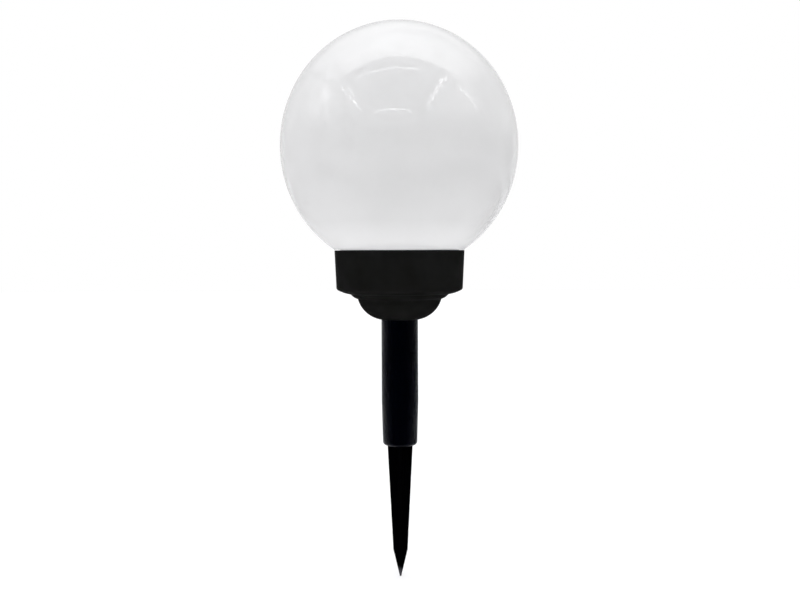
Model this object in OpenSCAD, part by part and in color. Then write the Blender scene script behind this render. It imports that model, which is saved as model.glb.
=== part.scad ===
// Solar globe light on a ground spike: an opal globe that screws into a stepped base,
// on a tube that plugs over a cross-shaped spike.
// Sizes are millimetres and +Z is up. The origin is on the axis at the soil line,
// where the foot of the tube stands on the ground.

/* [Globe] */
// Outside width of the globe across its middle
globe_w = 198.8; // [185:0.2:215]
// Outside height of the oval that the globe is cut from
globe_h = 206.4; // [195:0.2:230]
// Wall of the globe
globe_wall = 2; // [1.6:0.1:3]
// Wall of the neck that drops into the collar
neck_wall = 2.2; // [1.8:0.1:2.6]
// Length of the neck below the rim of the collar
neck_len = 12; // [11:0.5:14]

/* [Neck thread] */
// Ridges on the neck, and as many in the collar
thread_starts = 3; // [2:1:4]
// Rise of the globe in one full turn
thread_lead = 24; // [16:1:27]
// Turn that one ridge covers, in degrees
ridge_sweep = 50; // [30:1:55]
// How far a ridge stands out of its wall
ridge_out = 1.4; // [1.1:0.1:1.6]
// Width of a ridge at its wall
ridge_root = 2; // [1.8:0.1:2.4]
// Width of a ridge at its crest
ridge_crest = 1.2; // [0.8:0.1:1.4]
// Play between the ridges that bear on each other
ridge_play = 0.3; // [0.2:0.05:0.5]

/* [Collar and bowl] */
// Outside radius of the collar at its rim
collar_r = 54.7; // [53.5:0.1:58]
// Outside radius of the collar at its lower edge
collar_foot_r = 53.2; // [52.4:0.1:56]
// Height of the collar's wall, from the rim to the lower edge
collar_h = 32.7; // [30:0.1:36]
// Height of the rounded lower edge
collar_edge_h = 4.4; // [3:0.1:7]
// Radius at which the rounded edge starts to rise
edge_flat_r = 38; // [36:0.1:40.5]
// Wall of the collar at its rim
collar_wall = 2.9; // [2.4:0.1:3.2]
// Outside radius of the stepped ring under the collar
ring_r = 41.2; // [39:0.1:43]
// Height of the stepped ring
ring_h = 3.9; // [3:0.1:5.5]
// Radius at which the stepped ring starts to rise
ring_flat_r = 33.5; // [31:0.1:34.5]
// Outside radius of the bowl at its top
bowl_r = 35.3; // [34:0.1:36]
// Height of the bowl
bowl_h = 17.6; // [16.5:0.1:20]
// Radius of the flat under the bowl
bowl_flat_r = 12.2; // [8:0.1:13]
// Wall of the base below the collar's shelf
cup_wall = 2.2; // [1.8:0.1:2.6]
// Ribs round the tube's socket
cup_ribs = 6; // [4:1:8]
// Thickness of a rib
rib_t = 1.6; // [1.2:0.1:2.4]

/* [Tube and spike] */
// Length of tube in view, from the soil line to the bowl
tube_show = 106.4; // [80:0.2:160]
// Outside radius of the tube at its top
tube_r = 15.5; // [14.8:0.1:16.5]
// Outside radius of the tube at its foot
tube_foot_r = 14.6; // [14:0.05:15.5]
// Height below which the tube narrows towards its foot
taper_h = 37.5; // [20:0.5:70]
// Wall of the tube
tube_wall = 2; // [1.6:0.1:2.6]
// Rounding of the tube's foot
foot_round = 3; // [2:0.1:3.2]
// Length of tube inside the base's socket
socket_len = 17.6; // [14:0.1:17.8]
// Half the width of the spike where it leaves the tube
spike_r = 10.7; // [9:0.1:11]
// Half the width of the spike where its point begins
spike_low_r = 6.1; // [4.5:0.1:7.5]
// Length of the spike below the soil line
spike_len = 113.3; // [90:0.1:130]
// Length of the spike's point
point_len = 23; // [15:0.1:30]
// Thickness of the spike's blades
blade_t = 3; // [2.4:0.1:4]
// Length of the spike's plug inside the tube
plug_len = 22; // [16:0.5:26]

/* [Deck and solar panel] */
// Room between the raised deck and the neck
deck_room = 3.8; // [3:0.1:4.2]
// Height of the raised deck above the shelf that carries it
deck_rise = 6; // [5.5:0.1:7]
// Wall of the deck
deck_wall = 2; // [1.6:0.1:2.2]
// Thickness of the deck's flange
flange_t = 2; // [1.6:0.1:2.6]
// Thickness of the globe's seal
seal_t = 1.75; // [1.4:0.05:2.2]
// Width of the square solar panel
panel_w = 45; // [40:0.5:46]
// Thickness of the panel's board
panel_board_t = 1.2; // [0.8:0.1:1.4]
// Thickness of a solar cell strip
cell_strip_t = 0.4; // [0.3:0.05:0.6]
// Number of cell strips
cell_strips = 4; // [3:1:6]
// Gap between cell strips
strip_gap = 0.8; // [0.5:0.1:1.5]
// Thickness of the clear resin over the panel's board
resin_t = 1.6; // [1.2:0.1:2]

/* [Lamps and switch] */
// Radius of a lamp's lens
led_r = 2.5; // [2:0.1:2.6]
// Height of a lamp from its flange to the start of its dome
led_h = 5.7; // [4:0.1:6.5]
// Length of the switch's body
switch_l = 8.6; // [8:0.1:10]
// Depth of the switch's body
switch_d = 4.4; // [4:0.1:5]
// Travel of the switch's knob
switch_travel = 2; // [1.5:0.1:2.4]
// Length of the knob along its travel
knob_l = 2.2; // [1.8:0.1:2.6]
// Depth of the knob across its travel
knob_d = 1.8; // [1.4:0.1:2.2]

/* [Battery and board] */
// Radius of the rechargeable cell
cell_r = 7.1; // [6.8:0.05:7.2]
// Length of the cell without its terminal
cell_len = 49.2; // [48:0.1:50]
// Height of the cell's terminal
terminal_h = 1.3; // [1:0.1:1.6]
// Length that the contact spring is pressed to
spring_len = 4; // [3.8:0.1:5]
// Radius of the spring's wire
spring_wire_r = 0.4; // [0.3:0.05:0.45]
// Turns of the spring
spring_turns = 3; // [2:1:4]
// Thickness of the circuit board
pcb_t = 1.6; // [1.2:0.1:1.8]
// Room between the shelf and the circuit board
pcb_drop = 2; // [1.8:0.1:2.6]
// Wall of the battery tray
tray_wall = 1.7; // [1.4:0.1:1.8]

/* [Screws] */
// Radius of a screw's shank
screw_r = 1.45; // [1.2:0.05:1.6]
// Radius of a screw's head
screw_head_r = 2.8; // [2.4:0.1:3]
// Height of a screw's head
screw_head_h = 1.8; // [1.4:0.1:2]
// Length of a deck screw below its head
deck_screw_len = 10; // [8:0.5:14]
// Length of a tray screw below its head
tray_screw_len = 8; // [7:0.5:8.5]

/* [Clearances] */
// Room round a push fit
push_fit = 0.1; // [0.05:0.01:0.2]
// Room round a piece that sits in a pocket
pocket_fit = 0.3; // [0.2:0.05:0.5]
// Room between the globe's shoulder and the collar's rim
shoulder_gap = 0.3; // [0.1:0.05:0.4]
// How far the globe's shoulder stands in from the collar's edge
shoulder_reveal = 0.3; // [0.2:0.1:1]

/* [Hidden] */
$fn = 96;
bite = 0.5;     // how far a joined shape reaches into its wall
past = 1;       // how far a cut runs past a face

// heights, from the soil line up
bowl_z = tube_show;
ring_z = bowl_z + bowl_h;
edge_z = ring_z + ring_h;
wall_z = edge_z + collar_edge_h;
rim_z = wall_z + collar_h;
neck_foot_z = rim_z - neck_len;
flange_z = neck_foot_z - seal_t;
shelf_z = flange_z - flange_t;
deck_z = shelf_z + deck_rise;
pcb_z = shelf_z - pcb_drop;
pcb_under_z = pcb_z - pcb_t;
tube_top_z = bowl_z + socket_len;
socket_top_z = tube_top_z + push_fit * 2;
socket_r = tube_r + push_fit;

// collar, neck and thread
bore_r = collar_r - collar_wall;
tip_room = 0.4;   // between a ridge's crest and the wall across from it
ridge_drop = 7.2; // from the rim down to where the collar's ridges start
neck_r = bore_r - ridge_out - tip_room;
neck_in_r = neck_r - neck_wall;
ridge_low_z = rim_z - ridge_drop;
mesh_h = ridge_root - (bore_r - neck_r) / ridge_out * (ridge_root - ridge_crest) / 2;
neck_ridge_z = ridge_low_z - mesh_h - ridge_play;
ridge_from = 20; // angle at which the first ridge starts

// globe
globe_a = globe_w / 2;
globe_b = globe_h / 2;
shoulder_r = collar_r - shoulder_reveal;
globe_z = rim_z + shoulder_gap + globe_b * sqrt(1 - pow(shoulder_r / globe_a, 2));
shoulder_in_z = rim_z + shoulder_gap + globe_wall;

// deck
flange_room = 0.2; // so that the flange passes the collar's ridges
shelf_w = 1.9;
flange_r = bore_r - ridge_out - flange_room;
shelf_r = flange_r - shelf_w;
deck_r = neck_in_r - deck_room;
pocket_w = panel_w + 2 * pocket_fit;
pocket_z = deck_z - panel_board_t - resin_t;
hollow_r = deck_r - deck_wall;
screw_in = 6; // from the deck's edge to the middle of a screw
screw_ring_r = deck_r - screw_in;
screw_angles = [90, 210, 330];
well_r = screw_head_r + 2 * pocket_fit;
boss_wall = 2.1;
boss_r = screw_r + boss_wall;
hole_room = 0.25; // round a screw that passes through
led_flange_r = led_r + 0.4;
led_flange_t = 1;
led_room = 0.9; // from a lamp's flange to the corner of the panel's pocket
led_ring_r = (pocket_w / 2 + deck_wall) * sqrt(2) + led_flange_r + led_room;
led_flange_z = deck_z - deck_wall - led_flange_t - 0.2;
led_angles = [45, 135, 225, 315];
leg_w = 0.5; // legs and pins of the small parts
switch_h = 4.2;
switch_y = -(pocket_w / 2 + deck_wall + hollow_r) / 2;
switch_top_z = pcb_z + switch_h;
pin_pitch = 2.5;
knob_foot = 1.8;
knob_proud = 2.2;
knob_top_z = deck_z + knob_proud;
switch_slot_l = knob_l + switch_travel + 2 * pocket_fit;
switch_slot_d = knob_d + 2 * pocket_fit;

// battery and tray
plate_t = 0.5;
plate_w = 11;
plate_h = 10;
cell_room = 0.4;
tray_bore_r = cell_r + cell_room;
tray_r = tray_bore_r + tray_wall;
tray_roof_t = 2;
cell_z = pcb_under_z - tray_roof_t - tray_bore_r;
tray_in_l = cell_len + terminal_h + spring_len + 2 * plate_t;
plus_x = tray_in_l / 2;
minus_x = -tray_in_l / 2;
cell_x = minus_x + plate_t + spring_len;
ear_r = screw_head_r + 0.7;
ear_y = tray_r + ear_r - bite;
ear_h = 3.4;
tab_w = 3;
tab_out = 4;
tab_z = cell_z + plate_h / 2 - plate_t;
lead_r = 0.7;
lead_out = 6; // from a tab's end to where its lead meets the board
parts_x = 18; // place of the small parts under the board
parts_y = 22;
panel_lead_x = 12;
panel_lead_y = 16;
spring_wide_r = 4.9;
spring_step = 0.8; // drawn in with each turn
spring_narrow_r = spring_wide_r - spring_step * spring_turns;

// Region from the axis out to an arc that leaves [r0, z0] level and climbs through [r1, z1],
// set in by w, and carried on past z1 by rise
module under_arc(r0, z0, r1, z1, w = 0, rise = 0) {
    big = (pow(r1 - r0, 2) + pow(z1 - z0, 2)) / (2 * (z1 - z0));
    h = z1 + rise - z0 - w;
    intersection() {
        union() {
            translate([r0, z0 + big]) circle(r = big - w);
            translate([0, z0 + w]) square([r0, h]);
        }
        translate([0, z0 + w]) square([r0 + big, h]);
    }
}

// Half section of the base below the collar's wall, from the axis out, set in by w
module cup_steps(w = 0) {
    under_arc(bowl_flat_r, bowl_z, bowl_r, ring_z, w, w + bite);
    under_arc(ring_flat_r, ring_z, ring_r, edge_z, w, w + bite);
    under_arc(edge_flat_r, edge_z, collar_foot_r, wall_z, w);
}

// Right half of the globe's oval, set in by w
module oval(w = 0) {
    translate([0, globe_z]) intersection() {
        scale([1, (globe_b - w) / (globe_a - w)]) circle(r = globe_a - w);
        translate([0, -globe_b]) square([globe_a, 2 * globe_b]);
    }
}

// Closed faces of a tube of rings: sides, start cap and end cap
function ring_faces(rings, sides) = concat(
    [for (i = [0:rings - 2]) for (j = [0:sides - 1]) let (k = (j + 1) % sides)
        for (f = [[i * sides + j, i * sides + k, (i + 1) * sides + j],
                  [i * sides + k, (i + 1) * sides + k, (i + 1) * sides + j]]) f],
    [for (j = [1:sides - 2]) [0, j + 1, j]],
    [for (j = [1:sides - 2]) let (e = (rings - 1) * sides) [e, e + j, e + j + 1]]);

// A helical ridge that starts at angle 0 and height z, from its root radius to its crest radius
module ridge(root_at, crest_at, z) {
    steps = 12;
    side = crest_at > root_at ? 1 : -1;
    inner = side > 0 ? [root_at - bite, ridge_root] : [crest_at, ridge_crest];
    outer = side > 0 ? [crest_at, ridge_crest] : [root_at + bite, ridge_root];
    points = [for (i = [0:steps]) let (a = ridge_sweep * i / steps, h = z + thread_lead * a / 360)
        for (p = [[outer.x, outer.y / -2], [outer.x, outer.y / 2],
                  [inner.x, inner.y / 2], [inner.x, inner.y / -2]])
            [p.x * cos(a), p.x * sin(a), h + p.y]];
    polyhedron(points, ring_faces(steps + 1, 4));
}

module ridges(root_at, crest_at, z) {
    for (i = [0:thread_starts - 1])
        rotate([0, 0, ridge_from + i * 360 / thread_starts]) ridge(root_at, crest_at, z);
}

// A round tube along points in the XZ plane, at a given y
module flat_tube(route, y, r, sides = 8) {
    n = len(route);
    points = [for (i = [0:n - 1])
        let (a = route[max(i - 1, 0)], b = route[min(i + 1, n - 1)], d = (b - a) / norm(b - a))
        for (j = [0:sides - 1]) let (t = 360 * j / sides)
            [route[i].x - d.y * r * cos(t), y + r * sin(t), route[i].y + d.x * r * cos(t)]];
    polyhedron(points, ring_faces(n, sides));
}

// Points of a curve from p to q that leaves along d0 and arrives along d1
function bezier(p, d0, d1, q, steps = 8) =
    [for (i = [0:steps]) let (t = i / steps)
        pow(1 - t, 3) * p + 3 * t * pow(1 - t, 2) * (p + d0)
        + 3 * t * t * (1 - t) * (q - d1) + pow(t, 3) * q];

// The same curve with a short straight end at p and at q
function stubbed(p, d0, q, d1, stub = 0.4) =
    let (a = p + d0 * stub / norm(d0), b = q - d1 * stub / norm(d1))
    concat([p], bezier(a, d0, d1, b), [q]);

module at_screws() {
    for (a = screw_angles) rotate([0, 0, a]) translate([screw_ring_r, 0, 0]) children();
}

module at_leds() {
    for (a = led_angles) rotate([0, 0, a]) translate([led_ring_r, 0, 0]) children();
}

module at_ears() {
    for (side = [-1, 1]) translate([0, side * ear_y, 0]) children();
}

module globe() {
    color("white") union() {
        rotate_extrude() difference() {
            union() {
                difference() {
                    oval();
                    translate([0, globe_z - globe_b - past])
                        square([globe_a, rim_z + shoulder_gap + past - globe_z + globe_b]);
                }
                translate([0, neck_foot_z]) square([neck_r, rim_z + shoulder_gap + bite - neck_foot_z]);
            }
            difference() {
                oval(globe_wall);
                translate([0, globe_z - globe_b]) square([globe_a, shoulder_in_z - globe_z + globe_b]);
            }
            translate([0, neck_foot_z - past]) square([neck_in_r, shoulder_in_z + 2 * past - neck_foot_z]);
        }
        ridges(neck_r, neck_r + ridge_out, neck_ridge_z);
    }
}

module globe_seal() {
    color("gainsboro") translate([0, 0, flange_z]) difference() {
        cylinder(r = flange_r, h = seal_t);
        translate([0, 0, -past]) cylinder(r = neck_in_r - tip_room, h = seal_t + 2 * past);
    }
}

module base_cup() {
    shelf_t = 2;
    foot_in_r = collar_foot_r - cup_wall;
    rib_h = bowl_h - 1; // a rib stops short of the ring's level
    color("#161616") difference() {
        union() {
            rotate_extrude() {
                difference() {
                    cup_steps();
                    cup_steps(cup_wall);
                }
                polygon([[foot_in_r, wall_z - bite], [collar_foot_r, wall_z], [collar_r, rim_z],
                    [bore_r, rim_z], [bore_r, shelf_z], [shelf_r, shelf_z], [shelf_r, shelf_z - shelf_t],
                    [foot_in_r, shelf_z - shelf_t - (foot_in_r - shelf_r)]]);
            }
            ridges(bore_r, bore_r - ridge_out, ridge_low_z);
            // the socket, its ribs and the screw bosses stand on the inside of the shell
            intersection() {
                rotate_extrude() {
                    cup_steps(cup_wall / 2);
                    translate([0, wall_z - bite]) square([foot_in_r + bite, shelf_z - wall_z + bite]);
                }
                union() {
                    translate([0, 0, bowl_z])
                        cylinder(r = socket_r + cup_wall, h = socket_top_z + cup_wall - bowl_z);
                    for (i = [0:cup_ribs - 1]) rotate([0, 0, (i + 0.5) * 360 / cup_ribs])
                        translate([socket_r, -rib_t / 2, bowl_z]) cube([bowl_r, rib_t, rib_h]);
                    at_screws() translate([0, 0, bowl_z]) cylinder(r = boss_r, h = shelf_z - bowl_z);
                }
            }
        }
        translate([0, 0, bowl_z - past]) cylinder(r = socket_r, h = socket_top_z - bowl_z + past);
        at_screws() translate([0, 0, flange_z - deck_screw_len - past])
            cylinder(r = screw_r + push_fit / 2, h = deck_screw_len + past);
    }
}

module deck_plate() {
    block_w = pocket_w + 2 * deck_wall;
    well_wall = 1.6;
    color("#202020") difference() {
        union() {
            difference() {
                union() {
                    translate([0, 0, shelf_z]) cylinder(r = flange_r, h = flange_t);
                    translate([0, 0, shelf_z]) cylinder(r = deck_r, h = deck_rise);
                }
                translate([0, 0, shelf_z - past])
                    cylinder(r = hollow_r, h = deck_rise - deck_wall + past);
            }
            // the panel's pocket hangs under the deck, and the screw wells stand beside it
            translate([-block_w / 2, -block_w / 2, pocket_z - deck_wall])
                cube([block_w, block_w, deck_z - deck_wall / 2 - pocket_z + deck_wall]);
            at_screws() translate([0, 0, shelf_z])
                cylinder(r = well_r + well_wall, h = deck_rise - deck_wall / 2);
            at_ears() translate([0, 0, pcb_z])
                cylinder(r = screw_r + well_wall, h = pocket_z - deck_wall / 2 - pcb_z);
        }
        translate([-pocket_w / 2, -pocket_w / 2, pocket_z]) cube([pocket_w, pocket_w, deck_rise]);
        at_screws() {
            translate([0, 0, flange_z]) cylinder(r = well_r, h = deck_rise);
            translate([0, 0, shelf_z - past]) cylinder(r = screw_r + hole_room, h = deck_rise);
        }
        at_leds() translate([0, 0, deck_z - deck_rise]) cylinder(r = led_r + 0.15, h = deck_rise + past);
        translate([-switch_slot_l / 2, switch_y - switch_slot_d / 2, shelf_z])
            cube([switch_slot_l, switch_slot_d, deck_rise + past]);
        at_ears() translate([0, 0, pcb_z - past])
            cylinder(r = screw_r + push_fit / 2, h = tray_screw_len - ear_h - pcb_t + past + pocket_fit);
        for (side = [-1, 1]) translate([side * panel_lead_x, panel_lead_y, pocket_z - deck_wall - past])
            cylinder(r = lead_r + pocket_fit, h = deck_wall + 2 * past);
    }
}

module panel_board() {
    color("#0d2b16") translate([-panel_w / 2, -panel_w / 2, pocket_z])
        cube([panel_w, panel_w, panel_board_t]);
}

cell_area_w = panel_w - 4;
strip_w = (cell_area_w - (cell_strips - 1) * strip_gap) / cell_strips;

// The strips, or with room the pockets that hold them
module strips(room = 0) {
    for (i = [0:cell_strips - 1])
        translate([-cell_area_w / 2 + i * (strip_w + strip_gap) - room, -cell_area_w / 2 - room,
                   pocket_z + panel_board_t - (room > 0 ? past : 0)])
            cube([strip_w + 2 * room, cell_area_w + 2 * room, cell_strip_t + (room > 0 ? past : 0)]);
}

module solar_cells() {
    color("#101a3c") strips();
}

module panel_resin() {
    color("#c9d6e0", 0.4) difference() {
        translate([-panel_w / 2, -panel_w / 2, pocket_z + panel_board_t])
            cube([panel_w, panel_w, resin_t]);
        strips(0.02);
    }
}

module leds() {
    leg_pitch = 2.54;
    color("#f2f2e4") at_leds() {
        translate([0, 0, led_flange_z]) cylinder(r = led_flange_r, h = led_flange_t);
        translate([0, 0, led_flange_z]) cylinder(r = led_r, h = led_h);
        translate([0, 0, led_flange_z + led_h]) sphere(r = led_r);
        for (side = [-1, 1]) translate([-leg_w / 2, (side * leg_pitch - leg_w) / 2, pcb_z])
            cube([leg_w, leg_w, led_flange_z - pcb_z + bite]);
    }
}

module switch_body() {
    pin_out = 1.2;
    color("silver") difference() {
        union() {
            translate([-switch_l / 2, switch_y - switch_d / 2, pcb_z])
                cube([switch_l, switch_d, switch_top_z - pcb_z]);
            for (i = [-1:1])
                translate([i * pin_pitch - leg_w / 2, switch_y - leg_w / 2, pcb_under_z - pin_out])
                    cube([leg_w, leg_w, pcb_t + pin_out + bite]);
        }
        translate([-switch_slot_l / 2, switch_y - switch_slot_d / 2, switch_top_z - knob_foot - pocket_fit])
            cube([switch_slot_l, switch_slot_d, knob_foot + pocket_fit + past]);
    }
}

module switch_knob() {
    foot_z = switch_top_z - knob_foot;
    groove_w = 0.5;
    groove_h = 0.4;
    color("#e8e8e8") translate([-(switch_travel + knob_l) / 2, switch_y - knob_d / 2, 0]) difference() {
        translate([0, 0, foot_z]) cube([knob_l, knob_d, knob_top_z - foot_z]);
        // two shallow grooves across the top for a fingertip
        for (i = [1, 2]) translate([(knob_l * i / 3) - groove_w / 2, -past, knob_top_z - groove_h])
            cube([groove_w, knob_d + 2 * past, past]);
    }
}

module circuit_board() {
    boss_room = 1;
    color("#1f6b3a") translate([0, 0, pcb_under_z]) difference() {
        cylinder(r = hollow_r - pocket_fit, h = pcb_t);
        translate([0, 0, -past]) {
            at_screws() cylinder(r = boss_r + boss_room, h = pcb_t + 2 * past);
            at_ears() cylinder(r = screw_r + hole_room, h = pcb_t + 2 * past);
            for (i = [-1:1]) translate([i * pin_pitch, switch_y, 0])
                cylinder(r = leg_w, h = pcb_t + 2 * past);
        }
    }
}

// Four-legged driver, standing off the board on its legs
module driver_chip() {
    body = [5.2, 3.2, 3];
    stand_off = 1.5;
    leg_pitch = 1.27;
    color("#151515") translate([-parts_x, parts_y, pcb_under_z]) {
        translate([-body.x / 2, -body.y / 2, -stand_off - body.z]) cube(body);
        for (i = [-1.5:1.5]) translate([i * leg_pitch - leg_w / 2, -leg_w / 2, -stand_off - bite])
            cube([leg_w, leg_w, stand_off + bite]);
    }
}

// Axial coil with its wires bent up to the board
module inductor() {
    body_r = 1.8;
    body_l = 8;
    stand_off = 0.6;
    wire_out = 1.8;
    wire_x = body_l / 2 + wire_out;
    color("#3f8f4a") translate([parts_x, parts_y, pcb_under_z - body_r - stand_off]) {
        translate([-body_l / 2, 0, 0]) rotate([0, 90, 0]) cylinder(r = body_r, h = body_l);
        translate([-wire_x, 0, 0]) rotate([0, 90, 0]) cylinder(r = leg_w / 2, h = 2 * wire_x);
        for (x = [-wire_x, wire_x]) translate([x, 0, 0]) {
            sphere(r = leg_w / 2);
            cylinder(r = leg_w / 2, h = body_r + stand_off);
        }
    }
}

// Dipped disc on two legs
module capacitor() {
    disc_r = 2.6;
    disc_t = 2;
    stand_off = 1.4;
    leg_pitch = 2.6;
    color("#c98a2b") translate([0, parts_y + 6, pcb_under_z - disc_r - stand_off]) {
        translate([0, disc_t / 2, 0]) rotate([90, 0, 0]) cylinder(r = disc_r, h = disc_t);
        for (side = [-1, 1]) translate([side * leg_pitch / 2, 0, 0])
            cylinder(r = leg_w / 2, h = disc_r + stand_off);
    }
}

module battery_tray() {
    mouth_w = 1.64 * cell_r; // a little under the cell's width, so that the cell snaps in
    color("#262626") difference() {
        union() {
            translate([minus_x - tray_wall, 0, cell_z]) rotate([90, 0, 90])
                linear_extrude(tray_in_l + 2 * tray_wall) union() {
                    circle(r = tray_r);
                    translate([-tray_r, 0]) square([2 * tray_r, pcb_under_z - cell_z]);
                }
            at_ears() translate([0, 0, pcb_under_z - ear_h]) cylinder(r = ear_r, h = ear_h);
            translate([-ear_r, -ear_y, pcb_under_z - ear_h]) cube([2 * ear_r, 2 * ear_y, ear_h]);
        }
        // the cell's bore, its snap-in mouth below, and square rooms for the contact plates
        translate([minus_x + plate_t, 0, cell_z]) rotate([0, 90, 0])
            cylinder(r = tray_bore_r, h = tray_in_l - 2 * plate_t);
        translate([minus_x + plate_t, -mouth_w / 2, cell_z - tray_r - past])
            cube([tray_in_l - 2 * plate_t, mouth_w, tray_r + past]);
        for (x = [minus_x, plus_x - plate_t - past])
            translate([x, -plate_w / 2 - pocket_fit, cell_z - plate_h / 2 - pocket_fit])
                cube([plate_t + past, plate_w + 2 * pocket_fit, plate_h + 2 * pocket_fit]);
        for (side = [-1, 1])
            translate([side * plus_x - past - tray_wall, -tab_w / 2 - pocket_fit, tab_z - pocket_fit])
                cube([2 * (tray_wall + past), tab_w + 2 * pocket_fit, plate_t + 2 * pocket_fit]);
        at_ears() translate([0, 0, pcb_under_z - ear_h - past])
            cylinder(r = screw_r + hole_room, h = ear_h + 2 * past);
        // room beside the bore for the screw heads
        at_ears() translate([0, 0, cell_z - tray_r])
            cylinder(r = screw_head_r + pocket_fit, h = pcb_under_z - ear_h - cell_z + tray_r);
    }
}

module battery_cell() {
    edge = 0.6;
    groove = 0.35; // rolled in near the terminal's end
    groove_x = cell_len - 2.4;
    color("#3c7d4f") translate([cell_x, 0, cell_z]) rotate([0, 90, 0]) rotate_extrude()
        polygon([[0, 0], [cell_r - edge, 0], [cell_r, edge],
            [cell_r, groove_x - 2 * groove], [cell_r - groove, groove_x - groove],
            [cell_r - groove, groove_x + groove], [cell_r, groove_x + 2 * groove],
            [cell_r, cell_len - edge], [cell_r - edge, cell_len], [0, cell_len]]);
}

module battery_terminal() {
    terminal_r = 2.75;
    color("silver") translate([cell_x + cell_len, 0, cell_z]) rotate([0, 90, 0])
        cylinder(r = terminal_r, h = terminal_h);
}

// Centre line of the spring, from the plate to the cell
spring_rings = 8 * spring_turns;
spring_line = [for (i = [0:spring_rings]) let (t = i / spring_rings,
        r = spring_wide_r + (spring_narrow_r - spring_wide_r) * t, a = 360 * spring_turns * t)
    [minus_x + plate_t + spring_wire_r + (spring_len - 2 * spring_wire_r) * t, r * cos(a), r * sin(a)]];
spring_gap = min([for (i = [0:spring_rings]) for (j = [i + 5:1:spring_rings])
    norm(spring_line[i] - spring_line[j])]) - 2 * spring_wire_r;
echo(spring_least_gap = spring_gap);

module battery_spring() {
    sides = 6;
    points = [for (i = [0:spring_rings]) let (c = spring_line[i], a = 360 * spring_turns * i / spring_rings)
        for (j = [0:sides - 1]) let (t = 360 * j / sides, out = spring_wire_r * cos(t))
            [c.x + spring_wire_r * sin(t), c.y + out * cos(a), c.z + out * sin(a)]];
    color("silver") translate([0, 0, cell_z]) polyhedron(points, ring_faces(spring_rings + 1, sides));
}

// A contact plate with a solder tab that passes out through the tray's end wall
module contact(x, side) {
    color("silver") translate([x, 0, 0]) {
        translate([0, -plate_w / 2, cell_z - plate_h / 2]) cube([plate_t, plate_w, plate_h]);
        translate([side > 0 ? 0 : plate_t - tab_out, -tab_w / 2, tab_z]) cube([tab_out, tab_w, plate_t]);
    }
}

module contact_minus() {
    contact(minus_x, -1);
}

module contact_plus() {
    contact(plus_x - plate_t, 1);
}

// A pan-head screw whose head stands on z = 0
module screw(len) {
    slot = [3.6, 0.7, screw_head_h];
    brim_h = 0.6 * screw_head_h;
    crown_r = 0.7 * screw_head_r;
    point_h = 2;
    point_r = 0.4;
    difference() {
        union() {
            cylinder(r = screw_head_r, h = brim_h);
            translate([0, 0, brim_h]) cylinder(r1 = screw_head_r, r2 = crown_r, h = screw_head_h - brim_h);
            translate([0, 0, point_h - len]) cylinder(r = screw_r, h = len - point_h + bite);
            translate([0, 0, -len]) cylinder(r1 = point_r, r2 = screw_r, h = point_h);
        }
        for (a = [0, 90]) rotate([0, 0, a])
            translate([-slot.x / 2, -slot.y / 2, screw_head_h - brim_h]) cube(slot);
    }
}

module deck_screws() {
    color("silver") at_screws() translate([0, 0, flange_z]) screw(deck_screw_len);
}

module tray_screws() {
    color("silver") at_ears() translate([0, 0, pcb_under_z - ear_h]) rotate([180, 0, 0])
        screw(tray_screw_len);
}

module battery_lead(side) {
    tab_end = plus_x - plate_t + tab_out;
    start = [side * (tab_end - lead_r - pocket_fit), tab_z + plate_t];
    finish = [side * (tab_end + lead_out), pcb_under_z];
    flat_tube(stubbed(start, [0, 1.6], finish, [0, 2.4]), 0, lead_r);
}

module battery_lead_red() {
    color("crimson") battery_lead(1);
}

module battery_lead_black() {
    color("#1a1a1a") battery_lead(-1);
}

module panel_lead(side) {
    start = [side * panel_lead_x, pocket_z];
    finish = [side * (panel_lead_x + 1), pcb_z];
    flat_tube(stubbed(start, [0, -3], finish, [0, -1.2]), panel_lead_y, lead_r);
}

module panel_lead_red() {
    color("crimson") panel_lead(1);
}

module panel_lead_black() {
    color("#1a1a1a") panel_lead(-1);
}

module stake_tube() {
    stop_r = spike_r - 2.5;
    stop_t = 2;
    hole_r = spike_r + push_fit;
    stop_top_z = plug_len + stop_t;
    bore = tube_foot_r - tube_wall;
    chamfer = 0.8;
    color("#0a0c12") rotate_extrude() difference() {
        union() {
            under_arc(tube_foot_r - foot_round, 0, tube_foot_r, foot_round);
            polygon([[0, foot_round], [tube_foot_r, foot_round], [tube_r, taper_h],
                [tube_r, tube_top_z - chamfer], [tube_r - chamfer, tube_top_z], [0, tube_top_z]]);
        }
        // the spike's socket, the hole in its stop, and the bore above
        translate([0, -past]) square([hole_r, plug_len + past]);
        translate([0, plug_len - past]) square([stop_r, stop_t + 2 * past]);
        polygon([[0, stop_top_z], [stop_r, stop_top_z], [bore, stop_top_z + bore - stop_r],
            [tube_r - tube_wall, taper_h + plug_len], [tube_r - tube_wall, tube_top_z + past],
            [0, tube_top_z + past]]);
    }
}

module spike() {
    tip_r = 0.6;
    core_r = 3.2;
    core_tip_r = 1.9;
    top_z = plug_len - 2 * push_fit;
    point_z = point_len - spike_len;
    low_z = -spike_len - past;
    color("#050505") intersection() {
        rotate_extrude() polygon([[0, top_z], [spike_r, top_z], [spike_r, 0], [spike_low_r, point_z],
            [tip_r, -spike_len], [0, -spike_len]]);
        union() {
            for (a = [0, 90]) rotate([0, 0, a]) translate([-spike_r - past, -blade_t / 2, low_z])
                cube([2 * (spike_r + past), blade_t, plug_len - low_z]);
            translate([0, 0, low_z]) cylinder(r1 = core_tip_r, r2 = core_r, h = plug_len - low_z);
        }
    }
}

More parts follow.
